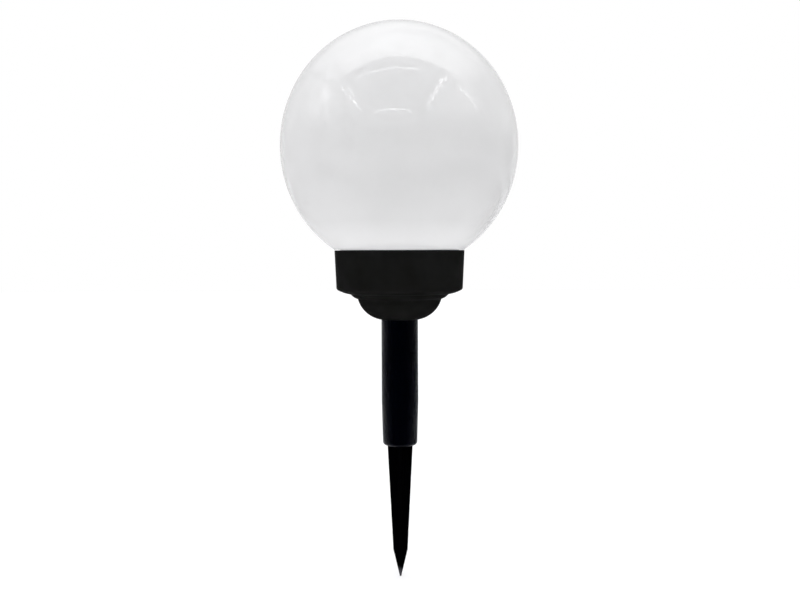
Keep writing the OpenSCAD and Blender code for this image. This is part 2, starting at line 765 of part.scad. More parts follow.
globe();
globe_seal();
base_cup();
deck_plate();
panel_board();
solar_cells();
panel_resin();
leds();
switch_body();
switch_knob();
circuit_board();
driver_chip();
inductor();
capacitor();
battery_tray();
battery_cell();
battery_terminal();
battery_spring();
contact_minus();
contact_plus();
deck_screws();
tray_screws();
battery_lead_red();
battery_lead_black();
panel_lead_red();
panel_lead_black();
stake_tube();
spike();
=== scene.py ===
import bmesh
import bpy
import math
from mathutils import Matrix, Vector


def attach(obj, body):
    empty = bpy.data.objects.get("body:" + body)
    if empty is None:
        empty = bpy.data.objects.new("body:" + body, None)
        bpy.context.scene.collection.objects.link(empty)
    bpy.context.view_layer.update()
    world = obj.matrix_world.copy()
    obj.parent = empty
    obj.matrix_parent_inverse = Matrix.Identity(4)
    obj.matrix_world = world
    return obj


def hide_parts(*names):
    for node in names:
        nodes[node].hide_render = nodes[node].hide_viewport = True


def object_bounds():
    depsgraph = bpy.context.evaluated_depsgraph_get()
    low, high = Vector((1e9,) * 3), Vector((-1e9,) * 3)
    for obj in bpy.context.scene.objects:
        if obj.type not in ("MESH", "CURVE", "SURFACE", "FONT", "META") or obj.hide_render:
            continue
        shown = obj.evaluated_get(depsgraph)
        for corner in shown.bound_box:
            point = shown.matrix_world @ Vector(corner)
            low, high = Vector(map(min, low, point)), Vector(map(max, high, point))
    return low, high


# Solar globe light on a ground spike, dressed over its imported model.
# Lengths are metres, +Z is up and the soil line is at z = 0.

print("stage: frame")
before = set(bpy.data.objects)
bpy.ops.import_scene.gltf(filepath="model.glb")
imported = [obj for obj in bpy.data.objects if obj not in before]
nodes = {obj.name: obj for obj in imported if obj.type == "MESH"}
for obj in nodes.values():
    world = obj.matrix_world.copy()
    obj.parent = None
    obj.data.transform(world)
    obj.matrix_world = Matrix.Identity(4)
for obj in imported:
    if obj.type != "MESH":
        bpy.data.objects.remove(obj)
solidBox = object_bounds()
groundZ = solidBox[0][2]  # the floor of the picture is at the spike's tip


def linear(level):
    # one channel of a colour on a 0 to 255 scale, as the linear number that a shader takes
    share = level / 255
    return ((share + 0.055) / 1.055) ** 2.4 if level > 10 else share / 12.92


def tone(red, green, blue):
    return linear(red), linear(green), linear(blue), 1


def grey(share):
    return share, share, share, 1


def plug(tree, socket, value):
    if isinstance(value, Wire):
        tree.links.new(value.socket, socket)
    else:
        socket.default_value = value


class Wire:
    # an output socket that adds and scales like a number; vectors go through Vector Math

    def __init__(self, socket):
        self.socket = socket
        self.tree = socket.id_data

    def apply(self, operation, first, second):
        isVector = any(isinstance(term, tuple) or isinstance(term, Wire) and term.socket.type == "VECTOR"
                       for term in (first, second))
        node = self.tree.nodes.new("ShaderNodeVectorMath" if isVector else "ShaderNodeMath")
        node.operation = operation
        plug(self.tree, node.inputs[0], first)
        plug(self.tree, node.inputs[1], second)
        return Wire(node.outputs[0])

    def __add__(self, other):
        return self.apply("ADD", self, other)

    def __radd__(self, other):
        return self.apply("ADD", other, self)

    def __sub__(self, other):
        return self.apply("SUBTRACT", self, other)

    def __rsub__(self, other):
        return self.apply("SUBTRACT", other, self)

    def __mul__(self, other):
        return self.apply("MULTIPLY", self, other)

    def __rmul__(self, other):
        return self.apply("MULTIPLY", other, self)

    def __truediv__(self, other):
        return self.apply("DIVIDE", self, other)

    def __lt__(self, other):
        return self.apply("LESS_THAN", self, other)

    def __gt__(self, other):
        return self.apply("GREATER_THAN", self, other)


noiseLow, noiseMiddle, noiseHigh = 0.3, 0.5, 0.7  # most of a noise lies between the outer two


class Finish:
    # the node tree of a material or of the sky, with one way to add any node to it

    def __init__(self, name, owner=None):
        self.material = owner or bpy.data.materials.new(name)
        self.material.use_nodes = True
        self.tree = self.material.node_tree
        self.tree.nodes.clear()

    def add(self, kind, settings=None, sockets=None, output=0):
        node = self.tree.nodes.new(kind)
        for key, value in (settings or {}).items():
            setattr(node, key, value)
        for key, value in (sockets or {}).items():
            plug(self.tree, node.inputs[key], value)
        return Wire(node.outputs[output]) if node.outputs else None

    def place(self):
        # where a point lies on the piece, in metres, so that a pattern moves with it
        return self.add("ShaderNodeTexCoord", output="Object")

    def axis(self, name, vector):
        return self.add("ShaderNodeSeparateXYZ", {}, {"Vector": vector}, name)

    def noise(self, size, detail=2, stretch=(1, 1, 1)):
        spot = self.place() * tuple(share / size for share in stretch)
        return self.add("ShaderNodeTexNoise", {}, {"Vector": spot, "Scale": 1.0, "Detail": detail})

    def between(self, low, high, noise):
        # a number that runs from low to high with a noise
        return self.add("ShaderNodeMapRange", {},
                        {"Value": noise, "From Min": noiseLow, "From Max": noiseHigh,
                         "To Min": low, "To Max": high})

    def ease(self, value, start, end, low=0.0, high=1.0):
        # goes softly from low to high while the value goes from start to end
        return self.add("ShaderNodeMapRange", {"interpolation_type": "SMOOTHSTEP"},
                        {"Value": value, "From Min": start, "From Max": end, "To Min": low, "To Max": high})

    def blend(self, first, second, factor):
        return self.add("ShaderNodeMix", {"data_type": "RGBA"},
                        {"Factor": factor, 6: first, 7: second}, output=2)

    def bump(self, height, depth):
        return self.add("ShaderNodeBump", {}, {"Height": height, "Distance": depth, "Strength": 1.0})

    def close(self, sockets):
        shader = self.add("ShaderNodeBsdfPrincipled", {}, sockets)
        self.add("ShaderNodeOutputMaterial", {}, {"Surface": shader})
        return self.material


def moulded(name, look):
    # plastic or rubber from a mould: spark-worn grain, uneven gloss, a trace of uneven colour and, where
    # asked, a painted highlight band by height
    finish = Finish(name)
    grain = finish.noise(look["grain"], detail=3)
    patch = finish.noise(look["patch"], stretch=look.get("flow", (1, 1, 1)))
    colour = finish.blend(look["colour"], look["worn"], finish.between(0, 1, patch))
    if "paintedHighlight" in look:
        # painted highlight: paler from one height to another, unevenly
        height = finish.axis("Z", finish.place()) + (patch - noiseMiddle) * look["paintedHighlightWaver"]
        paintedHighlightShare = finish.ease(height, look["paintedHighlightFrom"], look["paintedHighlightTo"])
        colour = finish.blend(colour, look["paintedHighlight"], paintedHighlightShare)
    sockets = {
        "Base Color": colour,
        "Roughness": finish.between(*look["rough"], patch),
        "Specular IOR Level": look.get("shine", 0.5),
        "Normal": finish.bump(grain, look["depth"]),
    }
    if "milk" in look:
        sockets["Subsurface Weight"] = look["milk"]
        sockets["Subsurface Radius"] = (1, 1, 1)
        sockets["Subsurface Scale"] = look["milkDepth"]
    if "tint" in look:
        sockets["Specular Tint"] = look["tint"]
    if "haze" in look:
        sockets["Sheen Weight"] = look["haze"]
        sockets["Sheen Tint"] = look["hazeTint"]
    if "coat" in look:
        sockets["Coat Weight"] = look["coat"]
        sockets["Coat Roughness"] = look["coatRough"]
    return finish.close(sockets)


def dress(material, *names):
    for name in names:
        slots = nodes[name].data.materials
        for i in range(len(slots)):
            slots[i] = material


def showMesh(name, mesh, material, sharpAngle):
    # an object of the mesh, smooth but for the edges that are sharper than the angle in degrees
    mesh.polygons.foreach_set("use_smooth", [True] * len(mesh.polygons))
    mesh.set_sharp_from_angle(angle=math.radians(sharpAngle))
    mesh.materials.clear()
    mesh.materials.append(material)
    piece = bpy.data.objects.new(name, mesh)
    bpy.context.scene.collection.objects.link(piece)
    return piece


def meshPiece(name, points, faces, material, sharpAngle=40):
    mesh = bpy.data.meshes.new(name)
    mesh.from_pydata(points, [], faces)
    mesh.validate()
    return showMesh(name, mesh, material, sharpAngle)


def revolve(outline, turns):
    # points and faces of a closed outline of (radius, height) pairs turned about Z
    tiny = 1e-7  # a smaller ring is one point on the axis
    angles = [2 * math.pi * i / turns for i in range(turns)]
    points, faces, rings = [], [], []
    for radius, height in outline:
        if radius < tiny:
            rings.append([len(points)] * turns)
            points.append((0, 0, height))
        else:
            rings.append([len(points) + i for i in range(turns)])
            points += [(radius * math.cos(a), radius * math.sin(a), height) for a in angles]
    for low, high in zip(rings, rings[1:] + rings[:1]):
        for i in range(turns):
            k = (i + 1) % turns
            corners = []
            for corner in (low[i], low[k], high[k], high[i]):
                if corner not in corners:
                    corners.append(corner)
            if len(corners) > 2:
                faces.append(corners)
    return points, faces


print("stage: globe")
globe = {
    "acrossHalf": 0.0994, "tallHalf": 0.1032, "middle": 0.25167, "wall": 0.002,
    "shoulderZ": 0.1653, "neck": 0.05, "neckIn": 0.0478, "neckFoot": 0.153,
    "turns": 256, "rows": 120, "edge": 0.0004, "edgeTurns": (0.3, 0.6, 0.9, 1.2, 1.57),
    "ridges": 3, "ridgeZ": 0.156014, "ridgeFrom": 20, "ridgeSweep": 50, "lead": 0.024,
    "ridgeOut": 0.0014, "ridgeSunk": 0.0003, "ridgeRoot": 0.002, "ridgeCrest": 0.0012,
    "ridgeSteps": 24, "ridgeRunOut": 6,  # its ends run out over a sixth of its length
}


def globeArc(inset, lowZ):
    # the oval's half outline from its crown down to a height, set in by the wall
    across, tall = globe["acrossHalf"] - inset, globe["tallHalf"] - inset
    last = math.acos((lowZ - globe["middle"]) / tall)
    angles = [last * i / globe["rows"] for i in range(globe["rows"] + 1)]
    return [(across * math.sin(a), globe["middle"] + tall * math.cos(a)) for a in angles]


def globeOutline():
    # down the outside, round the neck's rounded lip and up the inside
    edge, shoulder, foot = globe["edge"], globe["shoulderZ"], globe["neckFoot"]
    neck, neckIn, wall = globe["neck"], globe["neckIn"], globe["wall"]
    outer = globeArc(0, shoulder + edge)
    inner = globeArc(wall, shoulder + wall)
    corner = [(outer[-1][0] - edge * (1 - math.cos(a)), shoulder + edge * (1 - math.sin(a)))
              for a in globe["edgeTurns"]]
    lip = [(neck, shoulder), (neck, foot + edge), (neck - edge, foot),
           (neckIn + edge, foot), (neckIn, foot + edge), (neckIn, shoulder + wall)]
    return outer + corner + lip + inner[::-1]


def globeRidge(start):
    # one turn-in ridge on the neck, whose ends run out smoothly
    steps, points, faces = globe["ridgeSteps"], [], []
    for i in range(steps + 1):
        share = i / steps
        turn = math.radians(start + globe["ridgeSweep"] * share)
        middle = globe["ridgeZ"] + globe["lead"] * globe["ridgeSweep"] * share / 360
        full = min(1, globe["ridgeRunOut"] * share, globe["ridgeRunOut"] * (1 - share))
        root = (globe["neck"] - globe["ridgeSunk"], globe["ridgeRoot"] / 2, (1, -1))
        crest = (globe["neck"] + globe["ridgeOut"] * full, globe["ridgeCrest"] / 2, (-1, 1))
        for radius, half, sides in (root, crest):
            for side in sides:
                points.append((radius * math.cos(turn), radius * math.sin(turn), middle + side * half))
    for i in range(steps):
        for j in range(4):
            k = (j + 1) % 4
            faces.append((4 * i + j, 4 * i + k, 4 * i + 4 + k, 4 * i + 4 + j))
    faces += [(3, 2, 1, 0), tuple(4 * steps + j for j in range(4))]
    return points, faces


opal = {
    # the neck colour is painted light: lighter than the plastic, to offset the collar's shade on the globe's
    # foot
    "colour": tone(213, 213, 213), "dull": tone(210, 210, 210), "neck": tone(229, 229, 229),
    "paintedLightFrom": 0.163, "paintedLightTo": 0.188, "cloud": 0.05, "ripple": 0.012, "depth": 0.000012,
    "rough": (0.022, 0.036), "milkDepth": 0.003,
}


def opalShell():
    # milky blown plastic: faintly cloudy and rippled like orange peel, with painted light at the neck,
    # lighter towards the collar to offset the shade that the collar casts there
    finish = Finish("opalPlastic")
    cloud = finish.noise(opal["cloud"], detail=3)
    ripple = finish.noise(opal["ripple"])
    height = finish.axis("Z", finish.place())
    paintedNeckLight = finish.add("ShaderNodeMapRange", {},
                       {"Value": height, "From Min": opal["paintedLightFrom"], "From Max": opal["paintedLightTo"],
                        "To Min": 1.0, "To Max": 0.0})
    body = finish.blend(opal["colour"], opal["dull"], finish.between(0, 1, cloud))
    return finish.close({
        "Base Color": finish.blend(body, opal["neck"], paintedNeckLight),
        "Roughness": finish.between(*opal["rough"], cloud),
        "Normal": finish.bump(ripple, opal["depth"]),
        "Subsurface Weight": 1.0, "Subsurface Radius": (1, 1, 1), "Subsurface Scale": opal["milkDepth"],
    })


points, faces = revolve(globeOutline(), globe["turns"])
for i in range(globe["ridges"]):
    ridgePoints, ridgeFaces = globeRidge(globe["ridgeFrom"] + 360 * i / globe["ridges"])
    faces += [tuple(len(points) + j for j in face) for face in ridgeFaces]
    points += ridgePoints
globeShell = meshPiece("globeShell", points, faces, opalShell())
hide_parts("globe")
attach(globeShell, "globe")

print("stage: black mouldings")
satin = {
    "colour": tone(22, 22, 22), "worn": tone(17, 17, 16), "rough": (0.4, 0.5), "grain": 0.0005,
    "patch": 0.02, "depth": 0.00001, "shine": 0.0015,
}
# the housing's paler band just under and over the rim is a painted highlight along the rim's top edge
housing = dict(satin, paintedHighlight=tone(31, 31, 30), paintedHighlightFrom=0.1636, paintedHighlightTo=0.1648, paintedHighlightWaver=0.001)
deck = dict(satin, colour=tone(26, 26, 26), worn=tone(21, 21, 21), rough=(0.5, 0.6), shine=0.3)
tray = dict(deck, colour=tone(30, 30, 30))
tube = {
    "colour": tone(0.1, 0.3, 2), "worn": tone(0, 0.1, 1.2), "rough": (0.2, 0.3), "grain": 0.004,
    "patch": 0.012, "flow": (1, 1, 0.15), "depth": 0.000008, "shine": 0.15, "tint": (0.01, 0.02, 0.05, 1),
    "haze": 0.012, "hazeTint": (0.15, 0.3, 1, 1),
}
spike = {
    "colour": tone(1, 1, 1.4), "worn": tone(0.1, 0.2, 1), "rough": (0.45, 0.6), "grain": 0.0007,
    "patch": 0.006, "flow": (1, 1, 0.3), "depth": 0.00002, "shine": 0.003,
    # the spike's paler, lilac-grey tip is a painted highlight, standing in for light off the point's facet
    "paintedHighlight": tone(64, 63, 68), "paintedHighlightFrom": -0.103, "paintedHighlightTo": -0.11, "paintedHighlightWaver": 0.006,
}
collar = {
    # each ring's radius, height and rounding
    "rings": {"rim": (0.0547, 0.165, 0.0004), "rimInside": (0.0518, 0.165, 0.0003),
              "foot": (0.0532, 0.1323, 0.0012)},
    "reach": 0.0001, "weld": 0.00002, "segments": 3, "profile": 0.5, "sharpAngle": 35,
    "sortX": 0.3719, "sortY": 0.6947,  # any two that no symmetry of the base shares
}


def isOnRing(corner, radius, height):
    return (abs(math.hypot(corner.co.x, corner.co.y) - radius) < collar["reach"]
            and abs(corner.co.z - height) < collar["reach"])


def rank(spot):
    # one number for a point, by which corners and faces get the same order in each run
    return spot.x * collar["sortX"] + spot.y * collar["sortY"] + spot.z


def roundedCollar(material):
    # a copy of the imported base, with its outer rings rounded as the mould leaves them
    shape = bmesh.new()
    shape.from_mesh(nodes["base_cup"].data)
    bmesh.ops.remove_doubles(shape, verts=shape.verts, dist=collar["weld"])
    for ring, (radius, height, rounding) in collar["rings"].items():
        around = [edge for edge in shape.edges
                  if all(isOnRing(corner, radius, height) for corner in edge.verts)]
        print("collar ring", ring, len(around), "edges")
        bmesh.ops.bevel(shape, geom=around, offset=rounding, segments=collar["segments"],
                        profile=collar["profile"], affect="EDGES")
    shape.verts.sort(key=lambda corner: rank(corner.co))
    shape.edges.sort(key=lambda edge: rank(edge.verts[0].co + edge.verts[1].co))
    shape.faces.sort(key=lambda face: rank(face.calc_center_median()))
    mesh = bpy.data.meshes.new("collarMoulding")
    shape.to_mesh(mesh)
    shape.free()
    return showMesh("collarMoulding", mesh, material, collar["sharpAngle"])


collarMoulding = roundedCollar(moulded("housingPlastic", housing))
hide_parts("base_cup")
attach(collarMoulding, "base")
dress(moulded("deckPlastic", deck), "deck_plate")
dress(moulded("tubePlastic", tube), "stake_tube")
dress(moulded("spikePlastic", spike), "spike")
dress(moulded("trayPlastic", tray), "battery_tray")

print("stage: seal, switch and small parts")
smallParts = {
    "sealSilicone": {"nodes": ["globe_seal"], "colour": tone(196, 196, 192), "worn": tone(186, 186, 181),
                     "rough": (0.4, 0.55), "grain": 0.0006, "patch": 0.008, "depth": 0.00001,
                     "milk": 0.3, "milkDepth": 0.002},
    "knobPlastic": {"nodes": ["switch_knob"], "colour": tone(236, 236, 230), "worn": tone(222, 221, 214),
                    "rough": (0.35, 0.5), "grain": 0.0003, "patch": 0.002, "depth": 0.000008},
    "lampEpoxy": {"nodes": ["leds"], "colour": tone(243, 240, 214), "worn": tone(236, 231, 200),
                  "rough": (0.06, 0.12), "grain": 0.0015, "patch": 0.003, "depth": 0.000004,
                  "milk": 0.6, "milkDepth": 0.002, "coat": 0.5, "coatRough": 0.1},
    "chipResin": {"nodes": ["driver_chip"], "colour": tone(34, 34, 35), "worn": tone(26, 26, 27),
                  "rough": (0.55, 0.65), "grain": 0.0002, "patch": 0.002, "depth": 0.00001},
    "inductorLacquer": {"nodes": ["inductor"], "colour": tone(98, 160, 112), "worn": tone(84, 146, 98),
                        "rough": (0.2, 0.35), "grain": 0.0008, "patch": 0.003, "depth": 0.00002,
                        "coat": 0.4, "coatRough": 0.1},
    "ceramicCoat": {"nodes": ["capacitor"], "colour": tone(204, 148, 62), "worn": tone(186, 128, 46),
                    "rough": (0.25, 0.4), "grain": 0.001, "patch": 0.002, "depth": 0.00003,
                    "coat": 0.3, "coatRough": 0.1},
    "cellSleeve": {"nodes": ["battery_cell"], "colour": tone(88, 154, 112), "worn": tone(76, 140, 98),
                   "rough": (0.25, 0.4), "grain": 0.002, "patch": 0.01, "depth": 0.00002},
    "leadRed": {"nodes": ["battery_lead_red", "panel_lead_red"],
                "colour": tone(192, 30, 28), "worn": tone(170, 24, 22),
                "rough": (0.4, 0.5), "grain": 0.0006, "patch": 0.004, "depth": 0.00001},
    "leadBlack": {"nodes": ["battery_lead_black", "panel_lead_black"],
                  "colour": tone(34, 34, 34), "worn": tone(26, 26, 26),
                  "rough": (0.4, 0.5), "grain": 0.0006, "patch": 0.004, "depth": 0.00001},
}
for name, look in smallParts.items():
    dress(moulded(name, look), *look["nodes"])

metal = {"rough": (0.22, 0.4), "grain": 0.0004, "patch": 0.003, "depth": 0.000006, "handled": 0.86}


def plated(name, colour, stretch):
    # drawn or stamped steel: streaks along the draw, duller where it was handled
    finish = Finish(name)
    streak = finish.noise(metal["grain"], stretch=stretch)
    patch = finish.noise(metal["patch"])
    shade = tuple(channel * metal["handled"] for channel in colour[:3]) + (1,)
    return finish.close({
        "Base Color": finish.blend(colour, shade, finish.between(0, 1, patch)),
        "Metallic": 1.0, "Roughness": finish.between(*metal["rough"], streak),
        "Normal": finish.bump(streak, metal["depth"]),
    })


dress(plated("switchSteel", tone(206, 206, 208), (0.1, 1, 1)), "switch_body")
dress(plated("brightSteel", tone(219, 218, 214), (1, 0.2, 1)), "battery_terminal", "battery_spring",
      "contact_minus", "contact_plus")
dress(plated("screwSteel", tone(211, 212, 214), (1, 1, 0.2)), "deck_screws", "tray_screws")

print("stage: solar panel and board")
solar = {
    "left": -0.0205, "pitch": 0.01045, "strip": 0.00965, "finger": 0.0015, "fingerWidth": 0.00012,
    "busWidth": 0.0012, "crystal": 0.004, "dark": tone(18, 27, 66), "light": tone(34, 46, 98),
    "silver": tone(186, 190, 196), "metallic": 0.9, "rough": 0.22, "silverRougher": 0.15, "depth": 0.00002,
}


def solarCells():
    # blue crystals under fine silver fingers, with a wide bus along each strip
    finish = Finish("solarSilicon")
    across, along = (finish.axis(axis, finish.place()) for axis in "XY")
    crystal = finish.add("ShaderNodeTexVoronoi", {"feature": "F1"},
                         {"Vector": finish.place(), "Scale": 1 / solar["crystal"]}, output="Color")
    shade = finish.add("ShaderNodeSeparateColor", {}, {"Color": crystal}, "Red")
    step = finish.add("ShaderNodeMath", {"operation": "FRACT"},
                      {0: (across - solar["left"]) / solar["pitch"]})
    fromBus = finish.add("ShaderNodeMath", {"operation": "ABSOLUTE"},
                         {0: step - solar["strip"] / solar["pitch"] / 2})
    bus = fromBus < solar["busWidth"] / solar["pitch"] / 2
    row = finish.add("ShaderNodeMath", {"operation": "FRACT"}, {0: along / solar["finger"]})
    finger = row < solar["fingerWidth"] / solar["finger"]
    silver = finish.add("ShaderNodeMath", {"operation": "MAXIMUM"}, {0: bus, 1: finger})
    silicon = finish.blend(solar["dark"], solar["light"], shade)
    return finish.close({
        "Base Color": finish.blend(silicon, solar["silver"], silver),
        "Metallic": silver * solar["metallic"],
        "Roughness": solar["rough"] + solar["silverRougher"] * silver,
        "Normal": finish.bump(silver, solar["depth"]),
    })


boards = {
    "panelLaminate": {"nodes": ["panel_board"], "mask": tone(24, 62, 36), "track": tone(32, 78, 44)},
    "boardLaminate": {"nodes": ["circuit_board"], "mask": tone(40, 112, 62), "track": tone(62, 138, 78)},
}
etched = {
    # the tracks are the joints of long bricks, in hundredths of a metre
    "bricks": {"Scale": 100.0, "Brick Width": 1.3, "Row Height": 0.16, "Mortar Size": 0.018,
               "Mortar Smooth": 0.1, "Color1": grey(0), "Color2": grey(0), "Mortar": grey(1)},
    "offset": 0.37, "offsetEvery": 3, "gapSize": 0.011, "gapFrom": 0.48, "patch": 0.006,
    "rough": (0.25, 0.4), "depth": 0.00003, "coat": 0.3, "coatRough": 0.2,
}


def laminate(name, look):
    # solder mask with long tracks showing through it here and there, a little lighter and raised
    finish = Finish(name)
    lines = finish.add("ShaderNodeTexBrick",
                       {"offset": etched["offset"], "offset_frequency": etched["offsetEvery"]},
                       dict(etched["bricks"], Vector=finish.place()), output="Fac")
    tracks = lines * (finish.noise(etched["gapSize"], detail=0) > etched["gapFrom"])
    patch = finish.noise(etched["patch"])
    return finish.close({
        "Base Color": finish.blend(look["mask"], look["track"], tracks),
        "Roughness": finish.between(*etched["rough"], patch),
        "Normal": finish.bump(tracks, etched["depth"]),
        "Coat Weight": etched["coat"], "Coat Roughness": etched["coatRough"],
    })


dress(solarCells(), "solar_cells")
for name, look in boards.items():
    dress(laminate(name, look), *look["nodes"])

resin = {"colour": tone(38, 50, 70), "alpha": (0.2, 0.28), "rough": 0.06, "wave": 0.012, "depth": 0.00004,
         "coat": 1.0, "coatRough": 0.03}
finish = Finish("clearResin")
wave = finish.noise(resin["wave"])
clearResin = finish.close({
    "Base Color": resin["colour"], "Alpha": finish.between(*resin["alpha"], wave),
    "Roughness": resin["rough"], "Normal": finish.bump(wave, resin["depth"]),
    "Coat Weight": resin["coat"], "Coat Roughness": resin["coatRough"],
})
dress(clearResin, "panel_resin")

print("stage: floor and lights")
floor = {"half": 6.0, "albedo": 0.78, "glow": 0.12, "bounce": 0.4, "bounceReach": 0.9}
daylight = {"horizon": 0.9, "zenith": (1.56, 1.56, 1.59, 1), "leftward": 0.12, "background": 1.0}
# sheets that only reflections show: where each starts and ends along x and y and how high it is, before its
# tilt and turn in degrees; how much light it adds at its middle; how much it hides of what is behind it; and
# how far it fades in from its left, right, front and back edge, as shares of its size
tentTop = 1.25
tableTop = groundZ + 0.001
sheets = {
    "ceilingFront": {"x": (-0.95, 1.25), "y": (-0.3, 0.7), "z": tentTop, "gain": 1.9,
                     "fade": (0.18, 0.25, 0.09, 0.95)},
    "ceilingDeep": {"x": (-1.2, 1.35), "y": (-0.3, 1.4), "z": tentTop, "gain": 1.25,
                    "fade": (0.12, 0.25, 0.06, 0.95)},
    "ceilingLeft": {"x": (-3.6, -1.0), "y": (-0.5, 1.5), "z": tentTop, "gain": 0.5,
                    "fade": (0.5, 0.15, 0.2, 0.8)},
    "lampLeft": {"x": (-1.15, -0.75), "y": (-0.12, 0.42), "z": tentTop, "gain": 1.1,
                 "fade": (0.3, 0.5, 0.3, 0.5)},
    "lampFarLeft": {"x": (-2.0, -1.15), "y": (-0.5, 0.15), "z": tentTop, "gain": 1.0,
                    "fade": (0.4, 0.3, 0.4, 0.4)},
    "tableGapRight": {"x": (-1.1, 1.1), "y": (0.85, 3.0), "z": tableTop, "hide": 0.35, "turn": -115,
                      "fade": (0.3, 0.3, 0.2, 0.6)},
    "tableGapLeft": {"x": (-0.6, 0.5), "y": (0.7, 2.8), "z": tableTop, "hide": 0.6, "turn": 102,
                     "fade": (0.4, 0.4, 0.2, 0.6)},
    "tableMiddle": {"x": (-0.6, 1.5), "y": (0.0, 1.6), "z": tableTop + 0.002, "hide": 0.42,
                    "fade": (0.25, 0.2, 0.2, 0.3)},
    "tableFront": {"x": (-1.4, 1.4), "y": (-1.0, -0.12), "z": tableTop + 0.006, "hide": 0.4,
                   "fade": (0.3, 0.3, 0.3, 0.25)},
    "tableRight": {"x": (0.3, 3.0), "y": (-0.9, 1.3), "z": tableTop + 0.004, "hide": 0.68,
                   "fade": (0.25, 0.2, 0.2, 0.45)},
    "tableFarRight": {"x": (1.0, 5.5), "y": (0.7, 5.5), "z": tableTop + 0.008, "hide": 0.45,
                      "fade": (0.25, 0.2, 0.3, 0.2)},
    "tableLeft": {"x": (-3.0, -0.3), "y": (-0.9, 2.4), "z": tableTop + 0.004, "hide": 0.34,
                  "fade": (0.2, 0.25, 0.25, 0.2)},
    "tableBack": {"x": (-5, 5), "y": (0.1, 5.5), "z": tableTop, "hide": 0.25,
                  "fade": (0.1, 0.1, 0.1, 0.1)},
    "ceilingSoft": {"x": (-2.6, 2.6), "y": (-5.5, 0.2), "z": tentTop - 0.02, "gain": 0.45,
                    "fade": (0.3, 0.3, 0.35, 0.13)},
    "ceilingSoftLeft": {"x": (-3.4, -0.8), "y": (-1.8, 0.7), "z": tentTop - 0.022, "gain": 0.75,
                        "fade": (0.3, 0.3, 0.3, 0.3)},
    "ceilingSoftRight": {"x": (0.6, 3.0), "y": (-2.4, 0.5), "z": tentTop - 0.022, "gain": 0.8,
                         "fade": (0.3, 0.3, 0.3, 0.35)},
    "tentRight": {"x": (-2.5, 5), "y": (-1.5, 1.6), "z": 4.0, "hide": 0.62, "tilt": 90, "turn": 90,
                  "fade": (0.3, 0.2, 0.05, 0.4)},
    "tentLeft": {"x": (-5, 2.5), "y": (-1.5, 1.6), "z": 4.0, "hide": 0.34, "tilt": 90, "turn": -90,
                 "fade": (0.2, 0.3, 0.05, 0.4)},
    "tentFar": {"x": (-7, 7), "y": (-0.5, 5), "z": -5.0, "hide": 0.25, "tilt": 90,
                "fade": (0.25, 0.25, 0.02, 0.35)},
    "tentBack": {"x": (-5, 5), "y": (-3, 1.4), "z": 3.0, "hide": 0.2, "tilt": 90,
                 "fade": (0.1, 0.1, 0.05, 0.3)},
}
# folds of the tent's cloth that catch the light: points along each, its width, how bright it is and how
# far it is crumpled
folds = {
    "foldFront": {"line": ((-0.72, -0.47), (-0.35, -0.5), (0.36, -0.48)),
                  "wide": 0.07, "gain": 2.9, "wave": 0.01},
    "foldLeft": {"line": ((-1.03, -0.36), (-1.1, -0.8), (-1.28, -1.72)),
                 "wide": 0.075, "gain": 4.6, "wave": 0.035},
    "foldLeftInner": {"line": ((-0.88, -0.5), (-1.0, -0.85), (-1.2, -1.3)),
                      "wide": 0.05, "gain": 5.0, "wave": 0.03},
    "foldRight": {"line": ((0.72, -0.36), (0.76, -0.9), (0.88, -1.66)),
                  "wide": 0.1, "gain": 6.2, "wave": 0.042},
    "foldFar": {"line": ((-0.92, -2.2), (-0.72, -1.98), (0.3, -1.98), (0.46, -2.25)),
                "wide": 0.15, "gain": 5.2, "wave": 0.015},
    "foldFarLow": {"line": ((-0.8, -2.3), (-0.2, -2.18), (0.35, -2.26)),
                   "wide": 0.08, "gain": 2.0, "wave": 0.02},
    "foldFarLeft": {"line": ((-1.15, 0.1), (-1.95, -0.5), (-3.6, -1.3)),
                    "wide": 0.3, "gain": 1.0, "wave": 0.04},
    "foldSide": {"line": ((1.0, -0.38), (1.6, -0.3), (2.6, -0.36)),
                 "wide": 0.13, "gain": 3.0, "wave": 0.03},
}
ribbon = {
    "steps": 40, "below": 0.01, "apart": 0.0005, "fade": (0.08, 0.08, 0.45, 0.45),
    "wavePace": 0.72, "jag": 0.6, "jagPace": 1.75, "jagStart": 1, "swell": 0.25, "swellPace": 0.9,
    "swellStart": 2,
}
shown = ("Is Camera Ray", "Is Glossy Ray", "Is Transmission Ray")


def seenDirectly(owner):
    # 1 for what the eye meets, straight or by a reflection, and 0 for light that falls on the object
    seen, mirrored, through = (owner.add("ShaderNodeLightPath", output=ray) for ray in shown)
    return owner.add("ShaderNodeMath", {"operation": "ADD", "use_clamp": True},
                     {0: seen + mirrored, 1: through})


def rectangle(x, y, z):
    return [(x[0], y[0], z), (x[1], y[0], z), (x[1], y[1], z), (x[0], y[1], z)]


def whiteFloor(look):
    # matt white that shows near white itself, and lights the object a little more from close by
    finish = Finish("floorWhite")
    finish.material.cycles.emission_sampling = "NONE"
    away = finish.add("ShaderNodeVectorMath", {"operation": "LENGTH"}, {"Vector": finish.place()}, "Value")
    near = finish.ease(away, 0.0, look["bounceReach"], look["bounce"], 0.0)
    bounce = near * finish.add("ShaderNodeLightPath", output="Is Diffuse Ray")
    lit = finish.add("ShaderNodeBsdfDiffuse", {}, {"Color": grey(look["albedo"])})
    glow = finish.add("ShaderNodeEmission", {}, {"Color": seenDirectly(finish) * look["glow"] + bounce})
    both = finish.add("ShaderNodeAddShader", {}, {0: lit, 1: glow})
    finish.add("ShaderNodeOutputMaterial", {}, {"Surface": both})
    return finish.material


reach = (-floor["half"], floor["half"])
sheet = meshPiece("floor", rectangle(reach, reach, groundZ), [(0, 1, 2, 3)], whiteFloor(floor))


